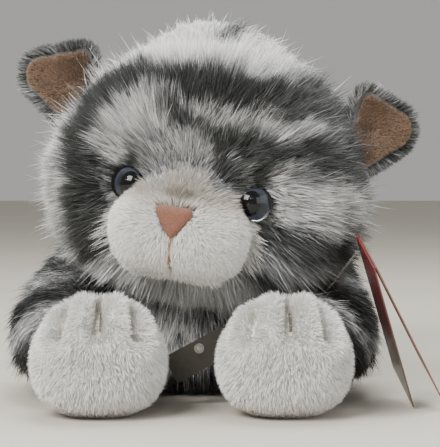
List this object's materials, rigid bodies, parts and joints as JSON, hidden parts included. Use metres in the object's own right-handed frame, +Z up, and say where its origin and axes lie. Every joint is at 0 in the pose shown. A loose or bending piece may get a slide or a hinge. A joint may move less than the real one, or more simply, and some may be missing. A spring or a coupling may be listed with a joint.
{
  "type": "plush cat",
  "caption": "Lying plush kitten with a large shaggy tabby head, safety eyes, lined ears, round white paws, a soft tail and a folded swing tag.",
  "frame": {"origin": "centre of the belly's flat underside, on the surface that the toy lies on", "axes": "+Z up, -Y the way the toy faces, +X to its left"},
  "size_m": [0.2101, 0.3398, 0.1946],
  "materials": {
    "grey_pile": "long tipped pile, matte",
    "white_pile": "short dense pile, matte",
    "stuffing": "loose polyester fill",
    "pellets": "woven cotton bag of pellets",
    "ear_lining": "short napped lining, matte",
    "nose_felt": "flocked, matte",
    "thread": "twisted thread",
    "eye_black": "gloss moulded",
    "eye_grey": "gloss painted back",
    "eye_clear": "clear polished dome",
    "washer": "moulded, matte",
    "tag_red": "printed card, satin",
    "note_brown": "plain card, matte",
    "nylon": "moulded clear nylon",
    "label": "woven satin, blank"
  },
  "bodies": {
    "body": {"body_cover": "grey_pile", "body_stuffing": "stuffing", "pellet_bag": "pellets", "care_label": "label", "note_card": "note_brown", "note_pin": "nylon"},
    "neck": {"neck_core": "grey_pile"},
    "head": {"head_cover": "grey_pile", "head_stuffing": "stuffing", "muzzle_cover": "white_pile", "muzzle_stuffing": "stuffing", "nose": "nose_felt", "mouth_stitch": "thread", "eye_post_left": "eye_black", "eye_iris_left": "eye_grey", "eye_pupil_left": "eye_black", "eye_lens_left": "eye_clear", "eye_washer_left": "washer", "eye_post_right": "eye_black", "eye_iris_right": "eye_grey", "eye_pupil_right": "eye_black", "eye_lens_right": "eye_clear", "eye_washer_right": "washer"},
    "ear_left": {"ear_back_left": "grey_pile", "ear_lining_left": "ear_lining"},
    "ear_right": {"ear_back_right": "grey_pile", "ear_lining_right": "ear_lining"},
    "foreleg_left": {"foreleg_cover_left": "grey_pile", "foreleg_stuffing_left": "stuffing", "paw_cover_left": "white_pile", "paw_stuffing_left": "stuffing", "toe_stitch_left": "thread"},
    "foreleg_right": {"foreleg_cover_right": "grey_pile", "foreleg_stuffing_right": "stuffing", "paw_cover_right": "white_pile", "paw_stuffing_right": "stuffing", "toe_stitch_right": "thread", "tag_pin": "nylon"},
    "hind_leg_left": {"thigh_cover_left": "grey_pile", "thigh_stuffing_left": "stuffing", "hind_foot_left": "white_pile"},
    "hind_leg_right": {"thigh_cover_right": "grey_pile", "thigh_stuffing_right": "stuffing", "hind_foot_right": "white_pile"},
    "tail": {"tail_cover": "grey_pile", "tail_stuffing": "stuffing"},
    "tag_front_leaf": {"tag_front": "tag_red"},
    "tag_back_leaf": {"tag_back": "tag_red"}
  },
  "joints": [
    {"name": "neck_turn", "type": "hinge", "parent": "body", "child": "neck", "pos_m": [0, -0.016, 0.084], "axis": [0, 0, 1], "range_deg": [-10, 10], "stiffness_Nm_per_rad": 0.6},
    {"name": "head_nod", "type": "hinge", "parent": "neck", "child": "head", "pos_m": [0, -0.016, 0.084], "axis": [-1, 0, 0], "range_deg": [0, 12], "stiffness_Nm_per_rad": 1.2},
    {"name": "ear_fold_left", "type": "hinge", "parent": "head", "child": "ear_left", "pos_m": [-0.05187, -0.04759, 0.15287], "axis": [0.2047, -0.0361, 0.9781], "range_deg": [-20, 20], "stiffness_Nm_per_rad": 0.01},
    {"name": "ear_fold_right", "type": "hinge", "parent": "head", "child": "ear_right", "pos_m": [0.07641, -0.07021, 0.13224], "axis": [0.1029, -0.0182, 0.9945], "range_deg": [-20, 20], "stiffness_Nm_per_rad": 0.01},
    {"name": "foreleg_spread_left", "type": "hinge", "parent": "body", "child": "foreleg_left", "pos_m": [-0.062, -0.022, 0.037], "axis": [0, 0, -1], "range_deg": [0, 28], "stiffness_Nm_per_rad": 0.12},
    {"name": "foreleg_spread_right", "type": "hinge", "parent": "body", "child": "foreleg_right", "pos_m": [0.062, -0.022, 0.037], "axis": [0, 0, 1], "range_deg": [0, 28], "stiffness_Nm_per_rad": 0.12},
    {"name": "hind_leg_lift_left", "type": "hinge", "parent": "body", "child": "hind_leg_left", "pos_m": [-0.056, 0.088, 0.036], "axis": [-1, 0, 0], "range_deg": [0, 20], "stiffness_Nm_per_rad": 0.12},
    {"name": "hind_leg_lift_right", "type": "hinge", "parent": "body", "child": "hind_leg_right", "pos_m": [0.056, 0.088, 0.036], "axis": [-1, 0, 0], "range_deg": [0, 20], "stiffness_Nm_per_rad": 0.12},
    {"name": "tail_swing", "type": "hinge", "parent": "body", "child": "tail", "pos_m": [-0.02, 0.151, 0.025], "axis": [0, 0, 1], "range_deg": [-1.5, 30], "stiffness_Nm_per_rad": 0.08},
    {"name": "tag_swing", "type": "hinge", "parent": "foreleg_right", "child": "tag_front_leaf", "pos_m": [0.0825, -0.132, 0.0676], "axis": [0.1075, -0.9439, -0.3123], "range_deg": [0, 60]},
    {"name": "tag_open", "type": "hinge", "parent": "tag_front_leaf", "child": "tag_back_leaf", "pos_m": [0.0825, -0.132, 0.0676], "axis": [0.1075, -0.9439, -0.3123], "range_deg": [0, 60]}
  ]
}
